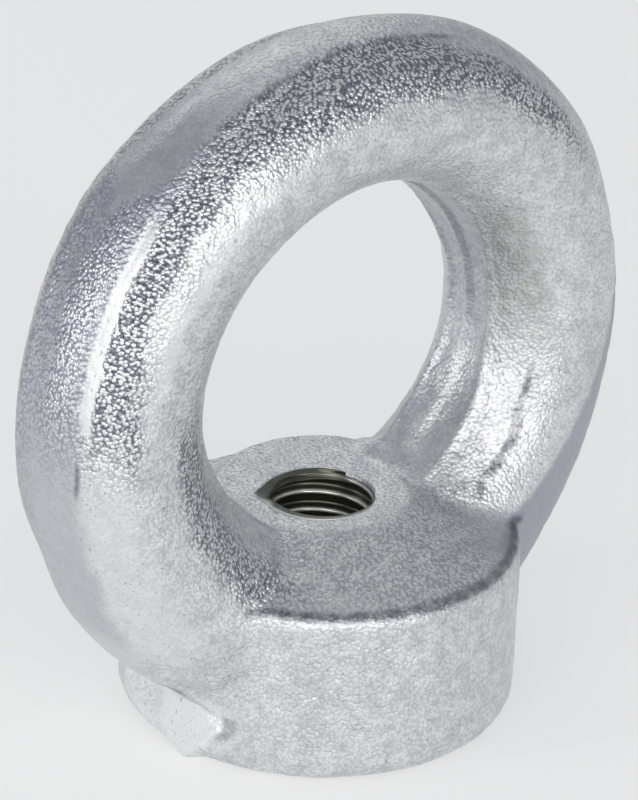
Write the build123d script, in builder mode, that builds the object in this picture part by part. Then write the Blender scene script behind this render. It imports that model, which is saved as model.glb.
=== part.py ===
"""Lifting eye nut for an M6 stud: a ring on a round collar, drop forged in one piece of steel.

The ring is rounded in section, apart from the two lands that are left where the flash was
sheared off: a wide one round the outside and a narrow one round the eye. It is thinnest at
its sides, fuller at the crown, and its roots flare into the collar, which has a sloping top
and a rounded foot. The shears also leave a sloping flat on each side of the collar. The
collar is faced, drilled and countersunk for the thread.

Frame: millimetres, +Z up, origin at the middle of the collar's underside. The ring stands in
the XZ plane, which is also the parting plane of the forging dies.
"""

import os
from math import cos, radians, sin, sqrt, tan

from build123d import *

os.makedirs("parts", exist_ok=True)

# Ring, in the XZ plane
TOTAL_HEIGHT = 36.0
RING_OUTER_RADIUS = 17.65
EYE_RADIUS = 9.25
EYE_RISE = 0.7  # the eye sits above the ring's outer centre, so the bar is slimmer on top

# Ring section: half thickness along Y, at angles from the crown down to the roots
SECTION_ANGLES = (0, 60, 115, 158)
HALF_THICKNESSES = (5.0, 4.45, 4.45, 6.3)
OUTER_LAND_HALF_WIDTH = 1.9
INNER_LAND_HALF_WIDTH = 1.7

# Collar
COLLAR_RADIUS = 10.0
COLLAR_RIM_Z = 9.2
EYE_FLOOR_Z = 11.1  # the flat top of the collar, where the thread comes out into the eye
COLLAR_TOP_SLOPE = 19.5  # degrees, from the rim up to the eye's floor
FOOT_EDGE_RADIUS = 1.4
RIM_CHAMFER = 0.3

# Sheared flats, one on each side of the collar, from the ring's underside down to the foot
FLAT_TOP_X = 9.0
FLAT_FOOT_X = 10.0

# M6 thread, as a plain bore at its minor diameter, countersunk at both ends
BORE_RADIUS = 2.5
EYE_MOUTH_RADIUS = 3.0
FOOT_MOUTH_RADIUS = 3.2

ring_centre_z = TOTAL_HEIGHT - RING_OUTER_RADIUS


def eye_distance(angle):
    """Distance from the ring's outer centre to the eye's wall, at an angle from the crown."""
    return EYE_RISE * cos(angle) + sqrt(EYE_RADIUS**2 - (EYE_RISE * sin(angle)) ** 2)


def across_the_ring(angle):
    """Plane of the ring's section at an angle from the crown: x outwards, y through the eye."""
    return Plane(
        origin=(0, 0, ring_centre_z),
        x_dir=(sin(angle), 0, cos(angle)),
        z_dir=(cos(angle), 0, -sin(angle)),
    )


# From one root over the crown to the other. Both end sections lie within the collar.
crown_to_root = list(zip(SECTION_ANGLES, HALF_THICKNESSES))
root_to_root = [(-angle, half) for angle, half in reversed(crown_to_root[1:])] + crown_to_root

with BuildPart() as ring:
    for degrees, half_thickness in root_to_root:
        angle = radians(degrees)
        inner = eye_distance(angle)
        crest = (inner + RING_OUTER_RADIUS) / 2
        with BuildSketch(across_the_ring(angle)):
            with BuildLine():
                Line(
                    (RING_OUTER_RADIUS, -OUTER_LAND_HALF_WIDTH),
                    (RING_OUTER_RADIUS, OUTER_LAND_HALF_WIDTH),
                )
                ThreePointArc(
                    (RING_OUTER_RADIUS, OUTER_LAND_HALF_WIDTH),
                    (crest, half_thickness),
                    (inner, INNER_LAND_HALF_WIDTH),
                )
                Line((inner, INNER_LAND_HALF_WIDTH), (inner, -INNER_LAND_HALF_WIDTH))
                ThreePointArc(
                    (inner, -INNER_LAND_HALF_WIDTH),
                    (crest, -half_thickness),
                    (RING_OUTER_RADIUS, -OUTER_LAND_HALF_WIDTH),
                )
            make_face()
    loft()

# Collar: a rounded foot, a rim with its edge taken off and a top that slopes up to the eye
floor_radius = COLLAR_RADIUS - (EYE_FLOOR_Z - COLLAR_RIM_Z) / tan(radians(COLLAR_TOP_SLOPE))
with BuildPart() as collar:
    with BuildSketch(Plane.XZ):
        with BuildLine():
            Polyline(
                (0, 0),
                (COLLAR_RADIUS, 0),
                (COLLAR_RADIUS, COLLAR_RIM_Z),
                (floor_radius, EYE_FLOOR_Z),
                (0, EYE_FLOOR_Z),
                close=True,
            )
        make_face()
    revolve(axis=Axis.Z)
    foot_edge, rim_edge = collar.edges().filter_by(GeomType.CIRCLE).sort_by(Axis.Z)[:2]
    fillet(foot_edge, FOOT_EDGE_RADIUS)
    chamfer(rim_edge, RIM_CHAMFER)

flat_top_z = ring_centre_z - sqrt(RING_OUTER_RADIUS**2 - FLAT_TOP_X**2)
with BuildPart() as eye_nut:
    add(ring.part)
    add(collar.part)
    # What the shears take off the collar below the ring, on both sides
    with BuildSketch(Plane.XZ):
        with BuildLine():
            Polyline(
                (FLAT_TOP_X, flat_top_z),
                (FLAT_FOOT_X, 0),
                (2 * COLLAR_RADIUS, 0),
                (2 * COLLAR_RADIUS, flat_top_z),
                close=True,
            )
        make_face()
        mirror(about=Plane.YZ)
    extrude(amount=COLLAR_RADIUS, both=True, mode=Mode.SUBTRACT)
    # Thread, drilled from the foot up into the eye and countersunk from both sides
    with BuildSketch(Plane.XZ):
        with BuildLine():
            Polyline(
                (0, 0),
                (FOOT_MOUTH_RADIUS, 0),
                (BORE_RADIUS, FOOT_MOUTH_RADIUS - BORE_RADIUS),
                (BORE_RADIUS, EYE_FLOOR_Z - (EYE_MOUTH_RADIUS - BORE_RADIUS)),
                (EYE_MOUTH_RADIUS, EYE_FLOOR_Z),
                (0, EYE_FLOOR_Z),
                close=True,
            )
        make_face()
    revolve(axis=Axis.Z, mode=Mode.SUBTRACT)

eye_nut.part.label = "eye_nut"
export_step(eye_nut.part, "parts/eye_nut.step")
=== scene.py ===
import math

import bmesh
import bpy
from mathutils import Matrix, Vector, noise


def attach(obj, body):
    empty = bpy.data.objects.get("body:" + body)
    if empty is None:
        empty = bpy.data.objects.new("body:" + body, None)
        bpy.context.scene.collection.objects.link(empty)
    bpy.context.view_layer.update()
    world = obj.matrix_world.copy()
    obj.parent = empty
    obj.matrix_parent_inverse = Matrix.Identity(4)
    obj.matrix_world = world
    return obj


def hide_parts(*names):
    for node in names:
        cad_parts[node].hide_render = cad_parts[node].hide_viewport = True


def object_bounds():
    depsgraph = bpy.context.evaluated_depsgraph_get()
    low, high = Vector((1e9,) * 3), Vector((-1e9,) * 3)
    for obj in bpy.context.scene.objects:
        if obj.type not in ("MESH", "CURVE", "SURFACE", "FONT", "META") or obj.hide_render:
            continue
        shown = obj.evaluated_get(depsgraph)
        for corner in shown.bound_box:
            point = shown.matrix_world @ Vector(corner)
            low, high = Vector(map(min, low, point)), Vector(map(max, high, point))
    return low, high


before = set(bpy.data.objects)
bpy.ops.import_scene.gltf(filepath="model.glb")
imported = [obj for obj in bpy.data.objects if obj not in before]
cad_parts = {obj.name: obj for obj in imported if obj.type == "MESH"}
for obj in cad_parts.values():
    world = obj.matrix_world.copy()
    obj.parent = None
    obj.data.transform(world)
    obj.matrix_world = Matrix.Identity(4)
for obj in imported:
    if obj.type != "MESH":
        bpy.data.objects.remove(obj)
cad_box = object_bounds()


# --------------------------------------------------------------------------------------
# Forging: ring and collar in one piece of drop-forged steel, shot-blasted and then hot-dip
# galvanised. It starts from the solid's own faces, remeshed fine enough to take the soft
# edges, the flash lands and the blasted skin that the dies and the shot leave.
# --------------------------------------------------------------------------------------
MM = 0.001
SKIN_VOXEL = 0.21 * MM
SKIN_SMOOTHINGS = 3
WELD_DISTANCE = 0.001 * MM
PLUG_RADIUS, PLUG_INSET = 3.3 * MM, 0.01 * MM
OUTER_RADIUS = 17.65 * MM
RING_CENTRE = Vector((0.0, 0.0, cad_box[1].z - OUTER_RADIUS))
EYE_RADIUS = 9.25 * MM
EYE_RISE = 0.7 * MM
LAND_HALF_WIDTH = 2.3 * MM  # outer flash land, seen from the edge of the ring
LAND_CROWN_RADIUS = 5.2 * MM
EYE_FLOOR_Z = 11.1 * MM
FLOOR_Z = 11.225 * MM  # the forging's own floor, a little proud of the nominal one
COLLAR_RADIUS = 10.0 * MM
RIM_Z = 9.2 * MM
FRONT_SLOPE, BACK_SLOPE = 0.354, 0.80
BACK_FLOOR_RADIUS, RIGHT_REACH = 5.55 * MM, 0.9 * MM
BACK_RIM_Z = 8.95 * MM
# Tongue of metal that the shears dragged over the foot: its edge and tip are in millimetres
SMEAR_EDGE_Z, SMEAR_EDGE_SLOPE = 4.2, 0.41
SMEAR_TIP_Y, SMEAR_TIP_Z, SMEAR_TIP_SLOPE = -4.2, 2.4, 0.75
SMEAR_FOOT_X, SMEAR_LEAN = -10.0 * MM, 0.27
FOOT_FILL_Z = 0.6 * MM
# Other marks of the dies and the shears: how far each stands out, and its span in degrees
# round the ring from the crown, positive towards +X
SQUARE_BACK_SPAN = (-98.0, -52.0)
DIE_STEP, DIE_STEP_SPAN = 0.28 * MM, (-25.0, 15.0)
RIGHT_SWELL, RIGHT_SWELL_SPAN = 0.2 * MM, (30.0, 55.0)
LEFT_SWELL, LEFT_SWELL_SPAN = 0.32 * MM, (-142.0, -124.0)
EYE_SWELL, EYE_SWELL_SPAN = 0.2 * MM, (20.0, 125.0)
BEAD_HEIGHT, BEAD_SPAN = 0.10 * MM, (-80.0, -50.0)
FIN_HEIGHT, FIN_SPAN = 0.13 * MM, (30.0, 140.0)


def smoothstep(low, high, value):
    """0 below low, 1 above high, a soft ramp between. It falls where low is above high."""
    t = min(1.0, max(0.0, (value - low) / (high - low)))
    return t * t * (3.0 - 2.0 * t)


def object_from(bm, name):
    """A new object at the origin from a bmesh, which is freed."""
    mesh = bpy.data.meshes.new(name)
    bm.to_mesh(mesh)
    bm.free()
    obj = bpy.data.objects.new(name, mesh)
    bpy.context.scene.collection.objects.link(obj)
    return obj


def evaluated(obj):
    """Gives an object its modifiers' result as its own mesh."""
    depsgraph = bpy.context.evaluated_depsgraph_get()
    mesh = bpy.data.meshes.new_from_object(obj.evaluated_get(depsgraph))
    obj.modifiers.clear()
    obj.data = mesh


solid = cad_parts["eye_nut"]
blank = bmesh.new()
blank.from_mesh(solid.data)
blank.transform(solid.matrix_world)
bmesh.ops.remove_doubles(blank, verts=blank.verts, dist=WELD_DISTANCE)
# The bore is closed while the skin is made, and cut clean afterwards
bmesh.ops.create_cone(
    blank,
    cap_ends=True,
    segments=48,
    radius1=PLUG_RADIUS,
    radius2=PLUG_RADIUS,
    depth=EYE_FLOOR_Z - 2 * PLUG_INSET,
    matrix=Matrix.Translation((0.0, 0.0, EYE_FLOOR_Z / 2)),
)
forging = object_from(blank, "forging")

remesh = forging.modifiers.new("skin", "REMESH")
remesh.mode = "VOXEL"
remesh.voxel_size = SKIN_VOXEL
evaluated(forging)

skin = bmesh.new()
skin.from_mesh(forging.data)
for _ in range(SKIN_SMOOTHINGS):
    bmesh.ops.smooth_vert(
        skin, verts=skin.verts, factor=0.5, use_axis_x=True, use_axis_y=True, use_axis_z=True
    )


def round_the_ring(point):
    """Distance from the ring's outer centre, and two angles in degrees: round the ring from the
    crown, positive towards +X, and round the bar from the outside over the front to the eye."""
    x, z = point.x - RING_CENTRE.x, point.z - RING_CENTRE.z
    radius, along = math.hypot(x, z), math.atan2(x, z)
    middle = (OUTER_RADIUS + EYE_RADIUS + EYE_RISE * math.cos(along)) / 2
    return radius, math.degrees(along), math.degrees(math.atan2(-point.y, radius - middle))


def between(low, high, soft, value):
    """1 from low to high, with a soft ramp of the given width on either side."""
    return smoothstep(low - soft, low, value) * (1.0 - smoothstep(high, high + soft, value))


def toward(heading, around):
    """1 where an angle in radians points along a heading in degrees, 0 at right angles."""
    return max(0.0, math.cos(around - math.radians(heading)))


def behind(point):
    """0 before the eye and 1 behind it, where the collar's top is fuller, with a shoulder."""
    return smoothstep(-1.0 * MM, 3.0 * MM, point.y)


def floor_radius(point):
    """How far the flat floor of the eye reaches from the hole, on the side of a point."""
    front = COLLAR_RADIUS - (FLOOR_Z - RIM_Z) / FRONT_SLOPE
    back = BACK_FLOOR_RADIUS + RIGHT_REACH * toward(30.0, math.atan2(point.y, point.x))
    return front + (back - front) * behind(point)


def top_height(point):
    """Height of the forging's collar top under or over a point."""
    front = RIM_Z + FRONT_SLOPE * (COLLAR_RADIUS - point.xy.length)
    back = max(BACK_RIM_Z, FLOOR_Z - BACK_SLOPE * (point.xy.length - floor_radius(point)))
    return min(FLOOR_Z, front + (back - front) * behind(point))


def fin_line(along):
    """Angle round the bar of the edge of the inner land, at an angle round the ring."""
    side = abs(along)
    return 150.0 + 11.0 * smoothstep(45.0, 73.0, side) - 5.0 * smoothstep(95.0, 118.0, side)


def above_smear(point):
    """How far a point lies above the smear's upper edge, in millimetres."""
    return point.z / MM - SMEAR_EDGE_Z - SMEAR_EDGE_SLOPE * point.y / MM


def past_smear_tip(point):
    """How far a point lies from the smear's tip, towards its middle, in millimetres."""
    return point.y / MM - SMEAR_TIP_Y - SMEAR_TIP_SLOPE * max(0.0, SMEAR_TIP_Z - point.z / MM)


def smear(point):
    """1 inside the tongue of metal that the shears dragged over the left of the foot."""
    y, z = point.y / MM, point.z / MM
    inside = smoothstep(8.0, 8.8, -point.x / MM)
    inside *= 1.0 - smoothstep(0.2, 1.4, y + 1.4 * max(0.0, 1.3 - z))
    inside *= smoothstep(0.0, 0.25, -above_smear(point))
    return inside * smoothstep(0.0, 0.3 + 0.5 * (z < 1.0), past_smear_tip(point))


for vert in skin.verts:
    radius, along, around = round_the_ring(vert.co)
    # Collar's top: from the die's even cone to the floor and slopes that the forging has
    from_rim = COLLAR_RADIUS - vert.co.xy.length
    drawn = min(EYE_FLOOR_Z, RIM_Z + FRONT_SLOPE * from_rim)
    near_top = between(-0.3, 0.2, 0.9, (vert.co.z - drawn) / MM) * (from_rim > -0.05 * MM)
    near_top *= 1.0 - smoothstep(4.5 * MM, 7.5 * MM, abs(vert.co.x))
    vert.co.z += (top_height(vert.co) - drawn) * near_top
    # Outer land: crowned across its width, down to a soft ridge where the flank starts
    outside = smoothstep(0.8, 0.95, radius / OUTER_RADIUS)
    outside *= smoothstep(2.8 * MM, 4.2 * MM, vert.co.z)
    across = min(abs(vert.co.y), LAND_HALF_WIDTH)
    drop = LAND_CROWN_RADIUS - math.sqrt(LAND_CROWN_RADIUS**2 - across**2)
    drop *= 1.0 - smoothstep(LAND_HALF_WIDTH, 2.0 * LAND_HALF_WIDTH, abs(vert.co.y))
    # The dies met a little out of line: the back is squarer on the left and low at the crown
    square = smoothstep(0.3, 1.8, vert.co.y / MM) * between(*SQUARE_BACK_SPAN, 16.0, along)
    drop *= 1.0 - 0.8 * square
    step = smoothstep(0.0, 2.5 * MM, vert.co.y) * between(*DIE_STEP_SPAN, 28.0, along)
    drop += DIE_STEP * step
    drop -= RIGHT_SWELL * between(*RIGHT_SWELL_SPAN, 20.0, along)
    drop -= LEFT_SWELL * between(*LEFT_SWELL_SPAN, 14.0, along)
    # Bead of metal left along the front ridge by the shears
    drop -= BEAD_HEIGHT * between(*BEAD_SPAN, 8.0, along) * between(32.0, 38.0, 3.0, around)
    inward = ((RING_CENTRE - vert.co) * Vector((1.0, 0.0, 1.0))).normalized()
    vert.co += inward * drop * outside
    # The eye's wall is fuller behind, where the dies met
    swell = between(-178.0, -140.0, 12.0, around) * between(*EYE_SWELL_SPAN, 20.0, along)
    vert.co += inward * EYE_SWELL * swell
    # Fin left where the flash round the eye was sheared away
    fin = between(fin_line(along) - 1.0, fin_line(along) + 1.0, 3.0, abs(around))
    vert.co += inward * FIN_HEIGHT * fin * between(*FIN_SPAN, 12.0, abs(along))
    # The smear lies a little proud of the sheared flat and fills the rounding of the foot
    proud = SMEAR_FOOT_X + SMEAR_LEAN * vert.co.z + 0.5 * max(0.0, FOOT_FILL_Z - vert.co.z)
    vert.co.x += min(0.0, proud - vert.co.x) * smear(vert.co) * (radius > OUTER_RADIUS)
skin.normal_update()

# Blasted skin: rounded pits and bumps all over, softer on the outer land and the eye's floor
FINE_SIZE, FINE_HEIGHT = 0.45 * MM, 0.035 * MM
MEDIUM_SIZE, MEDIUM_HEIGHT = 1.1 * MM, 0.03 * MM
BROAD_SIZE, BROAD_HEIGHT = 4.0 * MM, 0.05 * MM
SKIN_INSET = 0.02 * MM

for vert in skin.verts:
    radius, along, around = round_the_ring(vert.co)
    on_land = smoothstep(0.9, 0.97, radius / OUTER_RADIUS)
    on_land *= 1.0 - smoothstep(LAND_HALF_WIDTH, LAND_HALF_WIDTH + 0.4 * MM, abs(vert.co.y))
    floor_edge = floor_radius(vert.co)
    on_eye_floor = smoothstep(10.9 * MM, 11.1 * MM, vert.co.z)
    on_eye_floor *= 1.0 - smoothstep(floor_edge, floor_edge + 0.5 * MM, vert.co.xy.length)
    rough = 1.0 - 0.7 * max(on_land, on_eye_floor)
    fine = noise.noise(vert.co / FINE_SIZE)
    medium = noise.noise(vert.co / MEDIUM_SIZE + Vector((7.0, 0.0, 0.0)))
    broad = noise.noise(vert.co / BROAD_SIZE + Vector((0.0, 5.0, 0.0)))
    height = (FINE_HEIGHT * fine + MEDIUM_HEIGHT * medium) * rough + BROAD_HEIGHT * broad
    vert.co += vert.normal * (height - SKIN_INSET)
    vert.co.z = max(vert.co.z, 0.0)
skin.to_mesh(forging.data)
skin.free()

CUTTER_STEPS = 96
MOUTH_FOOT_Z, MOUTH_CUTTER_HEIGHT = 10.52 * MM, 2.0 * MM
LIP_HEADING = -112.0  # degrees, where the mouth of the hole has a flat, bright lip


def cut_with(cutter_bm):
    """Cuts a bmesh's volume out of the forging."""
    bmesh.ops.recalc_face_normals(cutter_bm, faces=cutter_bm.faces)
    cutter = object_from(cutter_bm, "cutter")
    cut = forging.modifiers.new("cut", "BOOLEAN")
    cut.operation = "DIFFERENCE"
    cut.solver = "EXACT"
    cut.object = cutter
    evaluated(forging)
    bpy.data.objects.remove(cutter)


def mouth_radius(around):
    """Radius of the hole's upper mouth at an angle in radians."""
    wide = 0.25 * toward(75.0, around) ** 2 + 0.70 * toward(172.0, around) ** 2
    lip = 0.55 * toward(LIP_HEADING, around) ** 2
    notch = 0.30 * toward(149.0, around) ** 60
    return (2.52 + wide + lip + notch) * MM


# The tapped hole, with a countersink at the foot, cut through the zinc after galvanising. The
# thread's sleeve lies inside it. The profile is in millimetres: radius and height.
HOLE_PROFILE = (
    (0.0, -1.0),
    (3.5, -1.0),
    (3.4, 0.05),
    (2.95, 0.5),
    (2.95, 10.55),
    (2.6, 10.65),
    (2.6, 12.5),
    (0.0, 12.5),
)
cutter_bm = bmesh.new()
outline = [cutter_bm.verts.new((x * MM, 0.0, z * MM)) for x, z in HOLE_PROFILE]
edges = [cutter_bm.edges.new(pair) for pair in zip(outline, outline[1:])]
bmesh.ops.spin(
    cutter_bm,
    geom=outline + edges,
    cent=(0.0, 0.0, 0.0),
    axis=(0.0, 0.0, 1.0),
    angle=2 * math.pi,
    steps=CUTTER_STEPS,
    use_merge=True,
)
bmesh.ops.remove_doubles(cutter_bm, verts=cutter_bm.verts, dist=WELD_DISTANCE)
cut_with(cutter_bm)

# The upper mouth was opened by hand: wide on the left, with a torn notch and a lip in front
cutter_bm = bmesh.new()
bmesh.ops.create_cone(
    cutter_bm,
    cap_ends=True,
    segments=CUTTER_STEPS,
    radius1=1.0,
    radius2=1.0,
    depth=MOUTH_CUTTER_HEIGHT,
    matrix=Matrix.Translation((0.0, 0.0, MOUTH_FOOT_Z + MOUTH_CUTTER_HEIGHT / 2)),
)
for vert in cutter_bm.verts:
    around = math.atan2(vert.co.y, vert.co.x)
    vert.co.x = mouth_radius(around) * math.cos(around)
    vert.co.y = mouth_radius(around) * math.sin(around)
cut_with(cutter_bm)
for face in forging.data.polygons:
    face.use_smooth = True


# How the zinc lies, and where light and shade are painted into it, vertex by vertex. Angles are
# degrees round the ring and round the bar, and their edges wander with a noise, while lengths
# are millimetres.
MASKS = ("pitting", "smooth_and_highlight", "dark_marks_and_shade", "stain", "dull_and_shade")
for mask in MASKS:
    forging.data.attributes.new(mask, "FLOAT", "POINT")
pitting, smooth_and_highlight, dark_marks_and_shade, stain, dull_and_shade = (forging.data.attributes[mask].data for mask in MASKS)
for index, vert in enumerate(forging.data.vertices):
    radius, along, around = round_the_ring(vert.co)
    x, y, z = vert.co / MM
    from_axis = vert.co.xy.length / MM
    wander = 6.0 * noise.noise(vert.co / (2.0 * MM)) + 4.0 * noise.noise(vert.co / (0.6 * MM))
    past_floor = from_axis - floor_radius(vert.co) / MM + 0.05 * wander
    high = smoothstep(9.0, 10.0, z)
    on_bar = 1.0 if vert.co.z > EYE_FLOOR_Z else smoothstep(9.0, 10.5, radius / MM)
    on_left = float(x < 0.0 and radius > OUTER_RADIUS)
    eye_floor = (1.0 - on_bar) * (z > 10.7) * smoothstep(0.3, 0.0, past_floor)

    # Pitted where the shot hit steepest: down both arms and over the crown, in the left inner
    # corner and a little on the slope of the collar's top, but not on the sheared bead. The
    # darkening of the pits, strongest where the skin is pitted, is painted shade
    low_edge = 2.0 + 31.0 * smoothstep(-56.0, -38.0, along) + 0.6 * max(0.0, along)
    arm = between(low_edge, 68.0, 10.0, around + wander)
    arm *= between(-86.0, 42.0, 14.0, along + wander)
    back_arm = between(low_edge, 68.0, 10.0, wander - around)
    back_arm *= between(-86.0, 42.0, 14.0, along)
    corner = between(108.0, 126.0, 12.0, around + wander) * between(-140.0, -92.0, 14.0, along)
    slope = (1.0 - on_bar) * (z > 9.3) * smoothstep(0.0, 0.4, past_floor)
    bead = between(-83.0, -52.0, 6.0, along + wander)
    bead *= between(31.0, 38.6, 1.6, around + 0.2 * wander)
    pits = max(arm * high, 0.6 * back_arm * high, 0.7 * corner * on_bar * high, 0.3 * slope)
    pitting[index].value = pits * (1.0 - bead)

    # Smoother and paler along the bead, on the sheared flats and the smear, in a patch above
    # the smear, low on the left of the ring, in the right-hand root, in a band along the front
    # of the bar on the upper left and on the eye's floor. The paler colour along the bead, in
    # that band, in the patch above the smear and low on the left is painted highlight
    flat = 0.7 * smoothstep(0.85, 0.97, abs(vert.normal.x)) * (z < 3.7)
    patch_highlight = between(-3.8, -2.4, 0.5, y) * between(0.1, 0.6, 0.15, above_smear(vert.co))
    root = between(112.0, 136.0, 8.0, along + wander) * between(85.0, 118.0, 8.0, around)
    crest = between(-68.0, -34.0, 16.0, along) * between(66.0, 82.0, 8.0, around + wander)
    low_left = between(-128.0, -94.0, 12.0, along) * between(0.0, 58.0, 20.0, around + wander)
    smooth_and_highlight[index].value = max(
        bead * high,
        flat,
        smear(vert.co),
        patch_highlight * on_left,
        0.25 * root * on_bar,
        0.7 * crest,
        0.6 * low_left,
        0.4 * eye_floor,
    )

    # Darker marks: a dark line along the collar's front rim and one along the front ridge,
    # painted shade in the lap of the right-hand root and in a crease low on the left arm, a
    # painted shadow at the smear's tip, and scratches above it
    rim = between(9.1, 9.3, 0.16, z) * between(9.5, 10.2, 0.25, from_axis)
    rim *= smoothstep(2.0, 4.0, -y)
    lap = between(101.0, 137.0, 4.0, along) * between(126.0, 129.0, 2.0, around + 0.7 * wander)
    ridge = between(-28.0, 14.0, 8.0, along) * between(28.5, 30.5, 2.0, around + 0.15 * wander)
    crease = between(-95.0, -91.0, 2.0, along) * between(30.0, 31.0, 1.0, around + 0.1 * wander)
    tip = between(-0.15, 0.15, 0.3, past_smear_tip(vert.co)) * between(2.1, 3.0, 0.4, z)
    scratches = between(0.0, 0.5, 0.1, above_smear(vert.co)) * between(-2.4, 2.0, 0.8, y)
    foot = max(0.7 * tip, 0.5 * scratches) * on_left * (z > 0.8)
    dark_marks_and_shade[index].value = max(
        0.9 * rim, 0.9 * lap * on_bar, 0.6 * ridge * high, 0.8 * crease, foot
    )

    # Dull and darker where the zinc lies thin on the sheared lands, with a paler streak low in
    # the eye, and on the eye's floor. The darkening on the outer land and the wide band on the
    # right is partly painted shade
    outer_land = smoothstep(0.9, 0.97, radius / OUTER_RADIUS)
    outer_land *= 1.0 - smoothstep(1.9, 2.5, abs(y) + 0.03 * wander)
    outer_land *= between(-120.0, -38.0, 20.0, along)
    wide_edge = 61.0 + 0.85 * (along - 88.0) + 0.4 * wander
    wide_land = between(72.0, 140.0, 16.0, along) * between(-30.0, wide_edge - 2.0, 4.0, around)
    inner_land = smoothstep(0.0, 3.0, abs(around) - fin_line(along))
    inner_land *= between(28.0, 142.0, 10.0, abs(along))
    streak = between(104.0, 136.0, 8.0, along) * between(-0.7, 0.5, 0.3, y + 0.06 * wander)
    inner_land *= 1.0 - streak
    on_lands = max(0.6 * outer_land, wide_land, 0.4 * inner_land) * on_bar
    dull_and_shade[index].value = max(on_lands, 0.5 * eye_floor)

    # An olive stain in the upper right of the eye
    stain[index].value = between(52.0, 84.0, 14.0, along) * between(
        126.0, 148.0, 10.0, around + wander
    )

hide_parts("eye_nut")
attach(forging, "root")


def linked(material, kind, inputs=(), **settings):
    """A node in a material, with its settings and its inputs, which are values or links."""
    node = material.node_tree.nodes.new(kind)
    for name, value in settings.items():
        setattr(node, name, value)
    for socket, value in dict(inputs).items():
        if isinstance(value, bpy.types.NodeSocket):
            material.node_tree.links.new(value, node.inputs[socket])
        else:
            node.inputs[socket].default_value = value
    return node


zinc = bpy.data.materials.new("hot_dip_zinc")
zinc.use_nodes = True
shader = zinc.node_tree.nodes["Principled BSDF"]
shader.inputs["Metallic"].default_value = 0.85
place = linked(zinc, "ShaderNodeTexCoord").outputs["Object"]


def zinc_noise(scale, detail, distortion=0.0):
    """A noise in the zinc with that many waves to the metre, as a value from 0 to 1."""
    inputs = {"Vector": place, "Scale": scale, "Detail": detail, "Distortion": distortion}
    return linked(zinc, "ShaderNodeTexNoise", inputs).outputs["Fac"]


def zinc_mask(name):
    """A mask that is stored on the forging's vertices."""
    return linked(zinc, "ShaderNodeAttribute", attribute_name=name).outputs["Fac"]


def zinc_math(operation, first, second):
    """One step of arithmetic in the zinc, on values or links."""
    return linked(zinc, "ShaderNodeMath", {0: first, 1: second}, operation=operation).outputs[0]


def zinc_ramp(value, low, high, at_low, at_high):
    """The value's span from low to high stretched over another span, and kept inside it."""
    inputs = {"Value": value, "From Min": low, "From Max": high}
    inputs.update({"To Min": at_low, "To Max": at_high})
    return linked(zinc, "ShaderNodeMapRange", inputs).outputs["Result"]


def zinc_mix(amount, first, second):
    """The first colour with that much of the second over it."""
    return linked(
        zinc, "ShaderNodeMix", {0: amount, 6: first, 7: second}, data_type="RGBA"
    ).outputs[2]


# Zinc colours. The bright zinc is partly painted highlight, the pit colour is painted shade in
# the pits, the dark-mark colour serves real specks and marks as well as painted shade and
# shadow, and the land colour is partly painted shade
BRIGHT_ZINC_AND_HIGHLIGHT = (0.86, 0.87, 0.88, 1.0)
PALE_ZINC = (0.80, 0.80, 0.815, 1.0)
DULL_ZINC = (0.67, 0.675, 0.70, 1.0)
PIT_SHADOW_COLOUR = (0.15, 0.17, 0.21, 1.0)
DARK_MARK_AND_SHADOW_COLOUR = (0.12, 0.12, 0.15, 1.0)
STAIN_SHADE = (0.31, 0.32, 0.28, 1.0)
LAND_DULL_AND_SHADE = (0.40, 0.41, 0.46, 1.0)

DOMES_PER_METRE = 5300.0

pitted, smoothed_and_lit, dulled_and_shaded = zinc_mask("pitting"), zinc_mask("smooth_and_highlight"), zinc_mask("dull_and_shade")
# The blasted skin is packed with small domes, with a finer grain over them
cell = {"Vector": place, "Scale": DOMES_PER_METRE}
from_middle = linked(zinc, "ShaderNodeTexVoronoi", cell).outputs["Distance"]
domes = zinc_ramp(zinc_math("MULTIPLY", from_middle, from_middle), 0.0, 1.0, 0.38, -0.42)
fine_grain = zinc_noise(6000.0, 2.0)
grain = zinc_math("ADD", zinc_math("MULTIPLY", fine_grain, 0.6), domes)
mottle = zinc_noise(1100.0, 4.0)
cloud = zinc_noise(260.0, 2.0)
colour = zinc_mix(zinc_ramp(mottle, 0.38, 0.62, 0.0, 1.0), DULL_ZINC, PALE_ZINC)
# Painted shade: the pits between the domes are darkened, most where the skin is pitted
pit_shadow = zinc_ramp(grain, 0.55, 0.38, 0.0, 1.0)
pit_shadow_strength = zinc_ramp(pitted, 0.0, 1.0, 0.22, 0.90)
specks = zinc_ramp(fine_grain, 0.64, 0.72, 0.0, 0.5)
stained = zinc_math("MULTIPLY", zinc_mask("stain"), zinc_ramp(mottle, 0.40, 0.60, 0.1, 0.55))
marked_and_shaded = zinc_math("MULTIPLY", zinc_mask("dark_marks_and_shade"), zinc_ramp(mottle, 0.35, 0.60, 1.0, 0.5))
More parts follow.
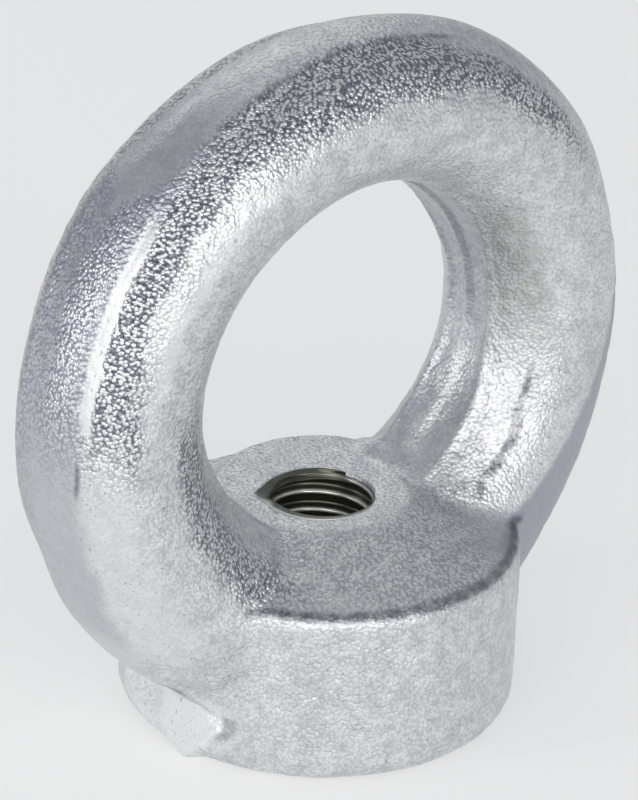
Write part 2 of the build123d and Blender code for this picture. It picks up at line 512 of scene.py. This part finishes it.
# Over the mottle: painted shade in the pits, a paler colour that is partly painted highlight,
# real specks, dulling that is partly painted shade, the real stain, and dark marks with painted
# shade and a painted shadow
for amount, shade in (
    (zinc_math("MULTIPLY", pit_shadow, pit_shadow_strength), PIT_SHADOW_COLOUR),
    (zinc_math("MULTIPLY", smoothed_and_lit, 0.9), BRIGHT_ZINC_AND_HIGHLIGHT),
    (specks, DARK_MARK_AND_SHADOW_COLOUR),
    (zinc_math("MULTIPLY", dulled_and_shaded, 0.9), LAND_DULL_AND_SHADE),
    (stained, STAIN_SHADE),
    (marked_and_shaded, DARK_MARK_AND_SHADOW_COLOUR),
):
    colour = zinc_mix(amount, colour, shade)
zinc.node_tree.links.new(colour, shader.inputs["Base Color"])
pit_gloss = zinc_ramp(pitted, 0.0, 1.0, 0.0, 0.12)
roughness = zinc_math("SUBTRACT", zinc_ramp(cloud, 0.3, 0.7, 0.46, 0.34), pit_gloss)
zinc.node_tree.links.new(roughness, shader.inputs["Roughness"])
relief = zinc_math("MULTIPLY", grain, zinc_ramp(pitted, 0.0, 1.0, 0.42, 1.2))
relief = zinc_math("MULTIPLY", relief, zinc_ramp(smoothed_and_lit, 0.0, 1.0, 1.0, 0.25))
relief = zinc_math("MULTIPLY", relief, zinc_ramp(dulled_and_shaded, 0.0, 0.6, 1.0, 0.4))
bump_inputs = {"Strength": 1.0, "Distance": 0.11 * MM, "Height": relief}
bump = linked(zinc, "ShaderNodeBump", bump_inputs)
zinc.node_tree.links.new(bump.outputs["Normal"], shader.inputs["Normal"])
forging.data.materials.clear()
forging.data.materials.append(zinc)


# --------------------------------------------------------------------------------------
# Thread: an M6 internal thread, tapped after galvanising, so that its turns are bare steel,
# with painted shade darkening the grooves. It is a thin sleeve whose inner wall follows the
# turns, let into the collar.
# --------------------------------------------------------------------------------------
THREAD_PITCH = 1.0 * MM
CREST_RADIUS = 2.5 * MM
GROOVE_RADIUS = 2.93 * MM
THREAD_DEPTH = GROOVE_RADIUS - CREST_RADIUS
SLEEVE_RADIUS = 3.7 * MM
THREAD_FOOT_Z = 0.5 * MM
THREAD_TOP_Z = 11.1875 * MM
THREAD_START = 0.73  # turns from the foot of the collar to the first crest
THROAT_RADIUS = 2.62 * MM  # where the thread runs out into the upper mouth
THROAT_Z = MOUTH_FOOT_Z + 0.1 * MM
MOUTH_OVERLAP = 0.04 * MM
SLEEVE_TUCK = 0.3 * MM
LEFT_HEADING = 190.0
# Bright bare steel on the worn crests, the lip and a little of the mouth; the rest of the turns
# take a dark colour that is painted shade in the grooves
BARE_STEEL = (0.85, 0.85, 0.80, 1.0)
GROOVE_SHADE_STEEL = (0.13, 0.135, 0.105, 1.0)
STEPS_AROUND = 96
STEPS_PER_PITCH = 16

sleeve = bmesh.new()
lower_ring = bmesh.ops.create_circle(sleeve, segments=STEPS_AROUND, radius=GROOVE_RADIUS)
bmesh.ops.translate(sleeve, verts=lower_ring["verts"], vec=(0.0, 0.0, THREAD_FOOT_Z))
top_edges = sleeve.edges[:]
lift = Vector((0.0, 0.0, THREAD_PITCH / STEPS_PER_PITCH))
for _ in range(round((THREAD_TOP_Z - THREAD_FOOT_Z) / lift.z)):
    grown = bmesh.ops.extrude_edge_only(sleeve, edges=top_edges)["geom"]
    top_edges = [item for item in grown if isinstance(item, bmesh.types.BMEdge)]
    fresh = [item for item in grown if isinstance(item, bmesh.types.BMVert)]
    top_edges = [edge for edge in top_edges if all(vert in fresh for vert in edge.verts)]
    bmesh.ops.translate(sleeve, verts=fresh, vec=lift)


def groove(height, around):
    """Radius of the thread at a height and an angle, with worn crests and rounded grooves."""
    phase = (height / THREAD_PITCH - around / (2 * math.pi) - THREAD_START) % 1.0
    return CREST_RADIUS + THREAD_DEPTH * smoothstep(0.0, 0.65, 1.0 - abs(2.0 * phase - 1.0))


for vert in sleeve.verts:
    around = math.atan2(vert.co.y, vert.co.x)
    run_out = THROAT_RADIUS + max(0.0, THROAT_Z - vert.co.z)
    # The mouth lies nearly flat in front and on the left, and elsewhere at 45 degrees
    flatness = min(1.0, toward(LIP_HEADING, around) ** 2 + toward(LEFT_HEADING, around) ** 6)
    top_mouth = mouth_radius(around) + MOUTH_OVERLAP
    top_mouth -= (1.0 + 12.0 * flatness) * (THREAD_TOP_Z - vert.co.z)
    foot_mouth = GROOVE_RADIUS - (vert.co.z - THREAD_FOOT_Z)
    radius = max(min(groove(vert.co.z, around), run_out), top_mouth, foot_mouth)
    vert.co.x, vert.co.y = radius * math.cos(around), radius * math.sin(around)
open_edges = [edge for edge in sleeve.edges if edge.is_boundary]
outer = bmesh.ops.extrude_edge_only(sleeve, edges=open_edges)["geom"]
for vert in (item for item in outer if isinstance(item, bmesh.types.BMVert)):
    scale = SLEEVE_RADIUS / vert.co.xy.length
    vert.co.x, vert.co.y = vert.co.x * scale, vert.co.y * scale
    vert.co.z += math.copysign(SLEEVE_TUCK, MOUTH_FOOT_Z - vert.co.z)
bmesh.ops.bridge_loops(sleeve, edges=[edge for edge in sleeve.edges if edge.is_boundary])
bmesh.ops.recalc_face_normals(sleeve, faces=sleeve.faces)
thread = object_from(sleeve, "thread")
for face in thread.data.polygons:
    face.use_smooth = True
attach(thread, "root")

# Worn crests, lip and left of the mouth; where this is 0 the turns take the painted groove
# shade
worn = thread.data.attributes.new("worn", "FLOAT", "POINT").data
for index, vert in enumerate(thread.data.vertices):
    around = math.atan2(vert.co.y, vert.co.x)
    crest = smoothstep(CREST_RADIUS + 0.5 * THREAD_DEPTH, CREST_RADIUS, vert.co.xy.length)
    crest *= smoothstep(THREAD_TOP_Z - 0.25 * MM, THREAD_TOP_Z - 0.45 * MM, vert.co.z)
    in_mouth = smoothstep(THREAD_TOP_Z - 0.4 * MM, THREAD_TOP_Z - 0.3 * MM, vert.co.z)
    in_mouth *= smoothstep(2.56 * MM, 2.64 * MM, vert.co.xy.length)
    lip = toward(LIP_HEADING, around) ** 2
    lip *= smoothstep(THREAD_TOP_Z - 0.15 * MM, THREAD_TOP_Z, vert.co.z)
    worn[index].value = max(crest, 0.35 * in_mouth * toward(LEFT_HEADING, around) ** 4, lip)

tapped = bpy.data.materials.new("tapped_steel")
tapped.use_nodes = True
shader = tapped.node_tree.nodes["Principled BSDF"]
shader.inputs["Metallic"].default_value = 0.9
shader.inputs["Roughness"].default_value = 0.28
rubbed = linked(tapped, "ShaderNodeAttribute", attribute_name="worn").outputs["Fac"]
# Painted shade in the grooves where the turns are not worn
steel_inputs = {0: rubbed, 6: GROOVE_SHADE_STEEL, 7: BARE_STEEL}
steel = linked(tapped, "ShaderNodeMix", steel_inputs, data_type="RGBA")
tapped.node_tree.links.new(steel.outputs[2], shader.inputs["Base Color"])
thread.data.materials.append(tapped)


# --------------------------------------------------------------------------------------
# Studio: a pale floor that takes the nut's shadow, and a white surround.
# --------------------------------------------------------------------------------------
FLOOR_HALF_SIDE = 1.2  # metres
FLOOR_GAP = 0.02 * MM
PAPER_GLOW = 0.48  # the share of plain white in what is seen of the paper
AIM = Vector((0.0, 0.0, 18.0 * MM))
LAMP_WHITE = (1.0, 0.985, 0.955)
LAMP_DISTANCE = 0.40  # metres
# Azimuth and elevation in degrees, width and height in metres, and power in watts
SOFT_BOXES = {
    "wall": (-48.0, 22.0, 0.42, 0.38, 0.79),
    "key": (-2.0, 17.0, 0.14, 0.28, 0.34),
    "edge": (-105.0, 14.0, 0.10, 0.20, 0.32),
    "back": (158.0, 30.0, 0.34, 0.16, 0.15),
    "top": (135.0, 62.0, 0.20, 0.18, 0.04),
}

floor_bm = bmesh.new()
bmesh.ops.create_grid(floor_bm, x_segments=1, y_segments=1, size=FLOOR_HALF_SIDE)
floor = object_from(floor_bm, "floor")
floor.location.z = -FLOOR_GAP
paper = bpy.data.materials.new("paper")
paper.use_nodes = True
shader = paper.node_tree.nodes["Principled BSDF"]
shader.inputs["Base Color"].default_value = (0.9, 0.9, 0.9, 1.0)
shader.inputs["Roughness"].default_value = 0.9
shader.inputs["Specular IOR Level"].default_value = 0.1
ray = linked(paper, "ShaderNodeLightPath").outputs
seen = ray["Is Camera Ray"]
for kind in ("Is Glossy Ray", "Is Transmission Ray"):
    either = linked(paper, "ShaderNodeMath", {0: seen, 1: ray[kind]}, operation="MAXIMUM")
    seen = either.outputs["Value"]
glow = linked(paper, "ShaderNodeMath", {0: seen, 1: PAPER_GLOW}, operation="MULTIPLY")
white = linked(paper, "ShaderNodeEmission", {"Strength": 1.0})
mixed = linked(
    paper,
    "ShaderNodeMixShader",
    {0: glow.outputs["Value"], 1: shader.outputs["BSDF"], 2: white.outputs["Emission"]},
)
paper.node_tree.links.new(
    mixed.outputs["Shader"], paper.node_tree.nodes["Material Output"].inputs["Surface"]
)
floor.data.materials.append(paper)

world = bpy.data.worlds.new("studio")
bpy.context.scene.world = world
world.use_nodes = True
background = world.node_tree.nodes["Background"]
background.inputs["Color"].default_value = (0.90, 0.94, 1.0, 1.0)
background.inputs["Strength"].default_value = 0.40


def outward(azimuth, elevation):
    """Direction away from the nut, in degrees: azimuth 0 is its front and 90 its right."""
    a, e = math.radians(azimuth), math.radians(elevation)
    return Vector((math.sin(a) * math.cos(e), -math.cos(a) * math.cos(e), math.sin(e)))


for name, (azimuth, elevation, width, height, power) in SOFT_BOXES.items():
    lamp = bpy.data.lights.new(name, "AREA")
    lamp.shape = "RECTANGLE"
    lamp.size, lamp.size_y = width, height
    lamp.energy = power
    lamp.color = LAMP_WHITE
    soft_box = bpy.data.objects.new(name, lamp)
    bpy.context.scene.collection.objects.link(soft_box)
    soft_box.location = AIM + outward(azimuth, elevation) * LAMP_DISTANCE
    soft_box.rotation_mode = "QUATERNION"
    soft_box.rotation_quaternion = outward(azimuth, elevation).to_track_quat("Z", "Y")
    soft_box.visible_camera = False


# --------------------------------------------------------------------------------------
# Camera: a long lens from the front left, a little above the nut and rolled slightly.
# --------------------------------------------------------------------------------------
AZIMUTH, ELEVATION, ROLL = -40.7, 25.3, 2.4  # degrees
DISTANCE = 222.0 * MM
FOCAL_LENGTH = 203.6  # millimetres
SLIDE_X, SLIDE_Z = -0.45 * MM, -1.61 * MM
NEAREST, FURTHEST = 0.01, 10.0  # metres

back = outward(AZIMUTH, ELEVATION)
level = outward(AZIMUTH + 90.0, 0.0)
upward = back.cross(level)
roll = math.radians(ROLL)
right = math.cos(roll) * level + math.sin(roll) * upward
up = math.cos(roll) * upward - math.sin(roll) * level
lens = bpy.data.cameras.new("camera")
lens.lens = FOCAL_LENGTH
lens.clip_start, lens.clip_end = NEAREST, FURTHEST
camera = bpy.data.objects.new("camera", lens)
bpy.context.scene.collection.objects.link(camera)
stand = AIM + right * SLIDE_X + up * SLIDE_Z + back * DISTANCE
axes = Matrix((right, up, back)).transposed().to_4x4()
camera.matrix_world = Matrix.Translation(stand) @ axes
bpy.context.scene.camera = camera
bpy.context.scene.view_settings.view_transform = "Standard"
